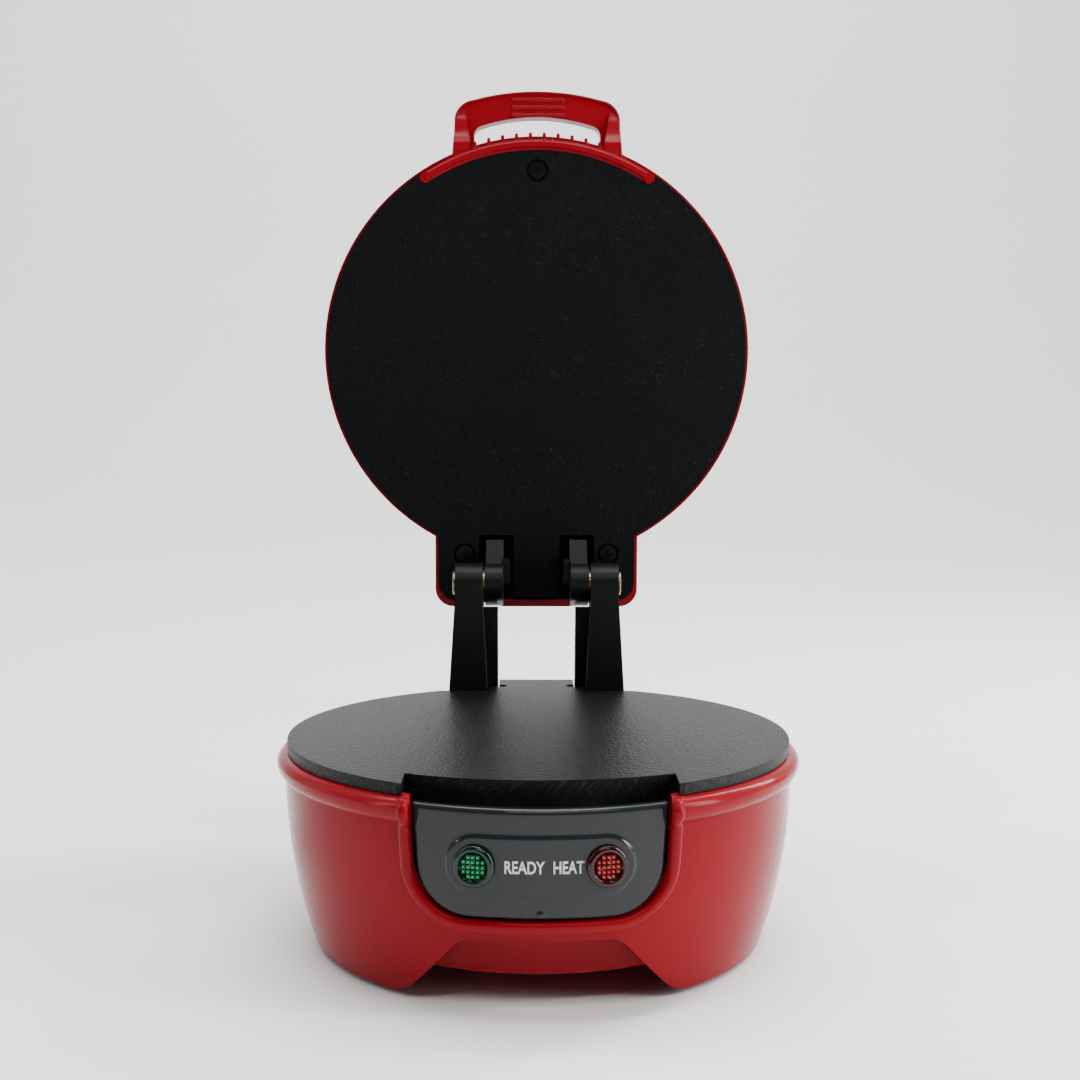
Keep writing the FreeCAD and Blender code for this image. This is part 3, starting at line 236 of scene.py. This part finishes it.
FINISHES = {
    "red_shell": moulded("red_plastic", (0.225, 0.0045, 0.0100), (0.20, 0.0038, 0.0088),
                         0.17, 1400, 0.05, shine=0.08),
    "panel_grey": moulded("grey_plastic", (0.014, 0.016, 0.018), (0.011, 0.013, 0.015),
                          0.10, 900, 0.03, shine=0.27),
    "plate_coating": non_stick("non_stick_coat", 0.11),
    "black_plastic": moulded("black_plastic", (0.0045, 0.0050, 0.0055), (0.0028, 0.0030, 0.0034),
                             0.40, 1700, 0.4, shine=0.16),
    "green_lens": lens("green_lens_plastic", (0.0006, 0.018, 0.007), (0.0, 0.008, 0.003)),
    "red_lens": lens("red_lens_plastic", (0.030, 0.0004, 0.002), (0.013, 0.0, 0.001)),
    "white_plastic": moulded("natural_nylon", (0.72, 0.70, 0.64), (0.64, 0.62, 0.56), 0.5, 900, 0.2),
    "pin_steel": metal("pin_steel", (0.30, 0.235, 0.15), 0.34),
    "screw_black": metal("blackened_steel", (0.020, 0.020, 0.022), 0.40),
    "brass": metal("brass", (0.50, 0.34, 0.13), 0.35),
    "sheet_steel": metal("aluminised_sheet", (0.58, 0.58, 0.60), 0.35, (200, 8, 8)),
    "element_steel": metal("oxidised_tube", (0.30, 0.27, 0.25), 0.5),
    "rubber": moulded("black_rubber", (0.020, 0.020, 0.022), (0.014, 0.014, 0.015), 0.7, 1200, 0.5),
    "ceramic": moulded("unglazed_ceramic", (0.74, 0.71, 0.64), (0.66, 0.63, 0.56), 0.65, 1500, 0.4),
    "wire_sleeve": moulded("glass_fibre_sleeve", (0.66, 0.65, 0.60), (0.55, 0.54, 0.5), 0.7, 2500, 0.8),
}
UPPER_COAT = non_stick("upper_non_stick_coat", 0.06)
# drag marks on the ground rims, with painted shade towards the bottom
RIM_MARKS_AND_SHADE = ground_edge("ground_rim")
PRINT = moulded("white_print", (0.62, 0.63, 0.63), (0.52, 0.53, 0.53), 0.5, 2500, 0.5, edge=0.05)
# painted reflection: the facets are coloured far brighter than the lens plastic, standing in for light
# reflected inside the unlit lamps
PAINTED_GLOW_CELLS = {
    "green": lens("green_cells_painted_glow", (0.03, 0.42, 0.17), (0.01, 0.22, 0.08), 0.2),
    "red": lens("red_cells_painted_glow", (0.55, 0.055, 0.045), (0.30, 0.015, 0.015), 0.2),
}


def finish_nodes():
    """Gives every CAD node the finish of its slot; the upper plate's coat is less polished."""
    slots = {row["node"]: row["material_slot"] for row in frame["record"]["subparts"]}
    for name, obj in NODES.items():
        obj.data.materials.clear()
        obj.data.materials.append(UPPER_COAT if name == "upper_plate" else FINISHES[slots[name]])


# ---------------------------------------------------------------- mesh helpers

def piece(name, verts, faces, material, body, smooth=True):
    """A mesh piece in millimetres that rides on a body."""
    mesh = bpy.data.meshes.new(name)
    mesh.from_pydata([tuple(c * MM for c in vert) for vert in verts], [], faces)
    mesh.materials.append(material)
    mesh.polygons.foreach_set("use_smooth", [smooth] * len(mesh.polygons))
    tidy = bmesh.new()
    tidy.from_mesh(mesh)
    bmesh.ops.recalc_face_normals(tidy, faces=tidy.faces)
    tidy.to_mesh(mesh)
    tidy.free()
    obj = bpy.data.objects.new(name, mesh)
    bpy.context.scene.collection.objects.link(obj)
    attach(obj, body)
    return obj


def bridge(count, first, second, closed=True):
    """Faces between two rows of vertices that start at two indices."""
    last = count if closed else count - 1
    return [(first + i, first + (i + 1) % count, second + (i + 1) % count, second + i)
            for i in range(last)]


def lathe(profile, turns=64):
    """Verts and faces of a profile of (radius, height) turned about Z, closed at both ends."""
    verts = []
    for radius, height in profile:
        for i in range(turns):
            angle = 2 * math.pi * i / turns
            verts.append((radius * math.cos(angle), radius * math.sin(angle), height))
    faces = []
    for row in range(len(profile) - 1):
        faces += bridge(turns, row * turns, (row + 1) * turns)
    faces.append(tuple(range(turns)))
    faces.append(tuple(range((len(profile) - 1) * turns, len(profile) * turns)))
    return verts, faces


# ---------------------------------------------------------------- control panel

# Millimetres, with heights above the housing's own foot.
PANEL_RADIUS = 75.7
PANEL = {"half": 33.2, "top_half": 34.2, "low": 26.2, "top": 55.4, "corner": 14.5, "gap": 0.5}
RAISED = {"half": 24.9, "radius": 8.3, "height": 0.5, "slope": 1.2, "centre": 40.6}
LAMP_ANGLE = math.radians(12.9)
EDGE = 1.3                                     # radius of the panel's rounded edge
SIDE_STEPS = 24
LOW_STEPS = 32
TOP_STEPS = 72


def panel_loop(inset):
    """The panel's outline as a closed loop of (x, z), from the top left, down and round."""
    inset = inset + PANEL["gap"]
    half = PANEL["half"] - inset
    top_half = PANEL["top_half"] - inset
    top = PANEL["top"] - inset + PANEL["gap"]
    radius = PANEL["corner"] - inset
    centre = (PANEL["half"] - PANEL["corner"], PANEL["low"] + PANEL["corner"])
    points = []
    for i in range(SIDE_STEPS):
        share = i / SIDE_STEPS
        points.append((-top_half + (top_half - half) * share, top + (centre[1] - top) * share))
    for i in range(SIDE_STEPS):
        angle = math.pi + math.pi / 2 * i / SIDE_STEPS
        points.append((-centre[0] + radius * math.cos(angle), centre[1] + radius * math.sin(angle)))
    for i in range(LOW_STEPS):
        points.append((-centre[0] + 2 * centre[0] * i / LOW_STEPS, centre[1] - radius))
    for i in range(SIDE_STEPS):
        angle = -math.pi / 2 + math.pi / 2 * i / SIDE_STEPS
        points.append((centre[0] + radius * math.cos(angle), centre[1] + radius * math.sin(angle)))
    for i in range(SIDE_STEPS):
        share = i / SIDE_STEPS
        points.append((half + (top_half - half) * share, centre[1] + (top - centre[1]) * share))
    for i in range(TOP_STEPS):
        points.append((top_half - 2 * top_half * i / TOP_STEPS, top))
    return points


def stadium_reach(angle, inset):
    """How far the raised area's edge is from its centre in a direction."""
    radius = RAISED["radius"] - inset
    straight = RAISED["half"] - RAISED["radius"]
    cosine, sine = abs(math.cos(angle)), abs(math.sin(angle))
    if sine > 1e-9 and radius / sine * cosine <= straight:
        return radius / sine
    return cosine * straight + math.sqrt(max(0, radius ** 2 - (straight * sine) ** 2))


def on_panel(x, z, height):
    """A point at a height over the panel's curved face."""
    angle = math.asin(x / PANEL_RADIUS)
    radius = PANEL_RADIUS + height
    return (radius * math.sin(angle), -radius * math.cos(angle), z + FOOT)


def panel_face():
    """The moulded front: rounded edges, then a raised area with sloped sides."""
    outer = panel_loop(0)
    count = len(outer)
    rings = [[on_panel(x, z, -2.4) for x, z in outer]]
    for step in range(9):
        angle = math.pi / 2 * step / 8
        inset = EDGE * (1 - math.cos(angle)) * 1.15
        rings.append([on_panel(x, z, EDGE * (math.sin(angle) - 1)) for x, z in panel_loop(inset)])
    base = panel_loop(2.2)
    angles = [math.atan2(z - RAISED["centre"], x) for x, z in base]

    def raised_ring(inset, scale=1.0):
        reach = [stadium_reach(a, inset) * scale for a in angles]
        return [(r * math.cos(a), RAISED["centre"] + r * math.sin(a)) for a, r in zip(angles, reach)]

    foot = raised_ring(0)
    for share in (0, 0.3, 0.6, 0.85, 1):
        flat = [(a[0] + (b[0] - a[0]) * share, a[1] + (b[1] - a[1]) * share) for a, b in zip(base, foot)]
        rings.append([on_panel(x, z, 0) for x, z in flat])
    for share in (0.12, 0.3, 0.5, 0.7, 0.88, 1):
        rise = RAISED["height"] * (0.5 - 0.5 * math.cos(math.pi * share))
        rings.append([on_panel(x, z, rise) for x, z in raised_ring(RAISED["slope"] * share)])
    for scale in (0.97, 0.85, 0.7, 0.5, 0.3, 0.12):
        rings.append([on_panel(x, z, RAISED["height"]) for x, z in raised_ring(RAISED["slope"], scale)])
    verts = [vert for ring in rings for vert in ring]
    faces = []
    for row in range(len(rings) - 1):
        faces += bridge(count, row * count, (row + 1) * count)
    faces.append(tuple(range((len(rings) - 1) * count, len(rings) * count)))
    faces.append(tuple(range(count)))
    face = piece("panel_moulding", verts, faces, FINISHES["panel_grey"], "base")
    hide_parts("control_panel")


def gate_mark():
    """The trimmed moulding gate at the panel's lower edge."""
    profile = [(1.3, -0.4), (1.25, 0.05), (0.95, 0.28), (0.6, 0.22), (0.4, 0.34), (0.12, 0.36)]
    verts, faces = lathe(profile, 24)
    x, y, z = on_panel(0, PANEL["low"] + 2.0, 0)
    placed = [(x + a, y - c, z + b * 0.8) for a, b, c in verts]
    piece("panel_gate", placed, faces, FINISHES["panel_grey"], "base")


def lamp_matrix(side):
    """Takes a lamp's own axes, z outwards, to its place on the panel."""
    turn = Matrix.Rotation(side * LAMP_ANGLE, 4, "Z")
    out = Matrix.Translation((0, -PANEL_RADIUS - RAISED["height"], RAISED["centre"] + FOOT))
    return turn @ out @ Matrix.Rotation(math.pi / 2, 4, "X")


def lamp(colour, side):
    """A lens with a rounded bezel, and a window of small square facets inside it."""
    place = lamp_matrix(side)
    window = 3.75
    profile = [(4.25, -7.5), (4.25, 0.1), (5.35, 0.1), (5.5, 0.3), (5.5, 0.85), (5.3, 1.25),
               (4.9, 1.55), (4.4, 1.66), (window + 0.25, 1.5), (window, 1.25), (window - 0.05, 0.9)]
    verts, faces = lathe(profile, 72)
    slot = f"{colour}_lens"
    bezel = piece(f"{colour}_lens_bezel", [tuple(place @ Vector(v)) for v in verts], faces,
                  FINISHES[slot], "base")
    verts, faces = [], []
    pitch, foot, top, low, high = 1.25, 0.44, 0.24, 0.88, 1.45
    for row in range(-3, 4):
        for column in range(-3, 4):
            x, y = column * pitch, row * pitch
            if math.hypot(x, y) > window - 0.25:
                continue
            start = len(verts)
            swell = 0.35 * (1 - (math.hypot(x, y) / window) ** 2)
            corners = ((-1, -1), (1, -1), (1, 1), (-1, 1))
            for half, height in ((foot, low), (foot, low + 0.2), (top, high + swell)):
                verts += [(x + half * a, y + half * b, height) for a, b in corners]
            for level in (0, 4):
                faces += bridge(4, start + level, start + level + 4)
            faces.append((start, start + 1, start + 2, start + 3))
            faces.append((start + 8, start + 9, start + 10, start + 11))
    # the facets take the brighter painted-reflection colours
    piece(f"{colour}_lens_facets", [tuple(place @ Vector(v)) for v in verts], faces,
          PAINTED_GLOW_CELLS[colour], "base", smooth=False)
    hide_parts(f"{colour}_lamp_lens")


def word(text, left, right, height):
    """A printed word on the raised area, between two x and as tall as given."""
    curve = bpy.data.curves.new(text, "FONT")
    curve.body = text
    curve.offset = 0.020                       # thickens the strokes
    curve.resolution_u = 4
    source = bpy.data.objects.new("word_source", curve)
    bpy.context.scene.collection.objects.link(source)
    mesh = bpy.data.meshes.new_from_object(source)
    bpy.data.objects.remove(source)
    xs = [v.co.x for v in mesh.vertices]
    ys = [v.co.y for v in mesh.vertices]
    scale_x = (right - left) / (max(xs) - min(xs))
    scale_y = height / (max(ys) - min(ys))
    shape = bmesh.new()
    shape.from_mesh(mesh)
    bmesh.ops.triangulate(shape, faces=shape.faces)
    grown = bmesh.ops.extrude_face_region(shape, geom=shape.faces[:])
    for part in grown["geom"]:
        if isinstance(part, bmesh.types.BMVert):
            part.co.z += 1
    for vert in shape.verts:
        x = left + (vert.co.x - min(xs)) * scale_x
        z = RAISED["centre"] - height / 2 + (vert.co.y - min(ys)) * scale_y
        vert.co = Vector(on_panel(x, z, RAISED["height"] - 0.02 + 0.05 * vert.co.z)) * MM
    bmesh.ops.recalc_face_normals(shape, faces=shape.faces)
    shape.to_mesh(mesh)
    shape.free()
    mesh.materials.clear()
    mesh.materials.append(PRINT)
    obj = bpy.data.objects.new("print_" + text.lower(), mesh)
    bpy.context.scene.collection.objects.link(obj)
    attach(obj, "base")


# ---------------------------------------------------------------- housing details

def surface_of(name):
    """A tree for finding points on a CAD node's surface."""
    mesh = NODES[name].data
    return BVHTree.FromPolygons([v.co[:] for v in mesh.vertices], [p.vertices[:] for p in mesh.polygons])


def panel_bead():
    """The half-round bead that frames the panel, laid on the drum's own surface."""
    tree = surface_of("base_housing")
    width, rise, root = 1.65, 1.3, 1.6
    beside, highest = 1.75, 55.8
    open_run = 4 * SIDE_STEPS + LOW_STEPS + 1
    rows = []
    for x, z in panel_loop(-PANEL["gap"] - beside)[:open_run]:
        start = Vector((x, -100, min(z, highest) + FOOT)) * MM
        hit = tree.ray_cast(start, Vector((0, 1, 0)))[0]
        rows.append(hit / MM)
    rows[0] = rows[1].copy()
    rows[0].z += 0.9
    rows[-1] = rows[-2].copy()
    rows[-1].z += 0.9
    verts = []
    steps = 14
    for i, spot in enumerate(rows):
        ahead = (rows[min(i + 1, len(rows) - 1)] - rows[max(i - 1, 0)]).normalized()
        out = Vector((spot.x, spot.y, 0)).normalized()
        across = ahead.cross(out).normalized()
        taper = 0.72 if i in (0, len(rows) - 1) else 1
        for k in range(steps):
            angle = 2 * math.pi * k / steps
            side, lift = math.cos(angle), math.sin(angle)
            depth = rise if lift > 0 else root
            verts.append(spot + across * side * width * taper + out * lift * depth * taper)
    faces = []
    for i in range(len(rows) - 1):
        faces += bridge(steps, i * steps, (i + 1) * steps)
    faces.append(tuple(range(steps)))
    faces.append(tuple(range(len(verts) - steps, len(verts))))
    piece("panel_bead", verts, faces, FINISHES["red_shell"], "base")


def ground_band(name, columns, low, high, proud, spot):
    """A thin closed band just proud of the lower plate; spot gives x and y from a share and an offset."""
    behind = -0.5
    verts = []
    for out in (proud, behind):
        for z in (low, high):
            for i in range(columns):
                x, y = spot(i / (columns - 1), out)
                verts.append((x, y, z + FOOT))
    faces = []
    for first, second in ((0, 1), (2, 3), (0, 2), (1, 3)):
        faces += bridge(columns, first * columns, second * columns, closed=False)
    for i in (0, columns - 1):
        faces.append((i, i + columns, i + 3 * columns, i + 2 * columns))
    piece(name, verts, faces, RIM_MARKS_AND_SHADE, "base", smooth=False)


def notch_wall():
    """The ground-back wall of the lower plate's front notch."""
    arc_radius, depth, half = 87.6, 62.3, 35.9
    centre_y = arc_radius - depth

    def spot(share, out):
        x = -half + 2 * half * share
        return x, centre_y - math.sqrt((arc_radius + out) ** 2 - x ** 2)

    ground_band("notch_wall", 90, 50.6, 59.55, 0.06, spot)


def ground_rims():
    """Ground bands on the lower plate's rim, clear of the notch and the posts."""
    plate_radius, sweep = 75.0, 120
    for name, start in (("rim_left", 120), ("rim_right", -60)):
        def spot(share, out):
            angle = math.radians(start + sweep * share)
            return (plate_radius + out) * math.cos(angle), (plate_radius + out) * math.sin(angle)

        ground_band(name, sweep + 2, 56.8, 59.6, 0.05, spot)


# ---------------------------------------------------------------- stage

def make_camera():
    """The viewpoint: in front, a little above the rim, looking slightly down."""
    data = bpy.data.cameras.new("camera")
    data.lens = 50.3
    data.sensor_width = 36.0
    camera = bpy.data.objects.new("camera", data)
    bpy.context.scene.collection.objects.link(camera)
    place = Matrix.Translation((-0.0042, -0.4509, 0.1559))
    turn = Matrix.Rotation(-0.0101, 4, "Z") @ Matrix.Rotation(math.pi / 2 - 0.0820, 4, "X")
    roll = Matrix.Rotation(0.0026, 4, "Z")
    camera.matrix_world = place @ turn @ roll
    bpy.context.scene.camera = camera


def area_light(name, place, aim, size, power):
    """A soft box of a width and a height in metres, pointed at a spot."""
    data = bpy.data.lights.new(name, "AREA")
    data.shape = "RECTANGLE"
    data.size = size[0]
    data.size_y = size[1]
    data.energy = power
    light = bpy.data.objects.new(name, data)
    bpy.context.scene.collection.objects.link(light)
    light.location = place
    light.rotation_euler = (Vector(aim) - Vector(place)).to_track_quat("-Z", "Y").to_euler()


def make_world():
    """A surround that is bright behind and above the object and dim in front of it."""
    world = bpy.data.worlds.new("soft_white")
    world.use_nodes = True
    tree = world.node_tree
    coords = tree.nodes.new("ShaderNodeTexCoord")
    axes = tree.nodes.new("ShaderNodeSeparateXYZ")
    back = tree.nodes.new("ShaderNodeMapRange")
    back.inputs["From Min"].default_value = -0.45
    back.inputs["From Max"].default_value = 0.45
    back.inputs["To Min"].default_value = 0.035
    back.inputs["To Max"].default_value = 1.5
    tree.links.new(coords.outputs["Generated"], axes.inputs["Vector"])
    tree.links.new(axes.outputs["Y"], back.inputs["Value"])
    background = tree.nodes["Background"]
    background.inputs["Color"].default_value = (1, 1, 1, 1)
    tree.links.new(back.outputs["Result"], background.inputs["Strength"])
    bpy.context.scene.world = world


def make_stage():
    """A pale floor that sweeps up behind, a soft surround and a few soft boxes."""
    g = Graph("pale_floor")
    cloud = g.noise(3, 2)
    mix = g.mix(cloud, "Fac", (0.90, 0.90, 0.90), (0.94, 0.94, 0.94))
    g.link(mix, "Result", g.shader, "Base Color")
    g.set(Roughness=0.9)
    half, front, back, radius, top, steps = 4.0, -12.0, 1.3, 1.2, 4.0, 24
    profile = [(front, 0.0), (back, 0.0)]
    for i in range(1, steps + 1):
        angle = math.pi / 2 * i / steps
        profile.append((back + radius * math.sin(angle), radius - radius * math.cos(angle)))
    profile.append((back + radius, top))
    verts = [(x, y, z) for y, z in profile for x in (-half, half)]
    faces = [(2 * i, 2 * i + 1, 2 * i + 3, 2 * i + 2) for i in range(len(profile) - 1)]
    mesh = bpy.data.meshes.new("floor")
    mesh.from_pydata(verts, [], faces)
    mesh.polygons.foreach_set("use_smooth", [True] * len(mesh.polygons))
    mesh.materials.append(g.material)
    floor = bpy.data.objects.new("floor", mesh)
    bpy.context.scene.collection.objects.link(floor)
    make_world()
    area_light("backdrop", (0.0, 0.75, 2.2), (0, 2.3, 0.7), (3.0, 0.8), 95)
    area_light("overhead", (0.0, 0.05, 1.1), (0, 0, 0.05), (0.8, 0.4), 5)
    area_light("front_strip", (0.15, -0.75, 0.95), (0, -0.05, 0.05), (0.8, 0.02), 3.6)
    area_light("right_strip", (0.85, -0.25, 0.40), (0, 0, 0.08), (0.16, 0.7), 9.0)
    area_light("tube", (0.05, -0.15, 1.0), (0, -0.05, 0.05), (0.5, 0.015), 2.6)
    area_light("window", (0.62, 0.37, 0.55), (0, 0, 0.05), (0.10, 0.5), 5.0)
    area_light("left_strip", (-0.85, -0.30, 0.60), (0, 0, 0.1), (0.05, 0.5), 1.4)


# ---------------------------------------------------------------- assembly

finish_nodes()
make_camera()
make_stage()
panel_face()
gate_mark()
lamp("green", -1)
lamp("red", 1)
word("READY", -9.2, 1.0, 3.3)
word("HEAT", 3.2, 11.0, 3.3)
panel_bead()
notch_wall()
ground_rims()
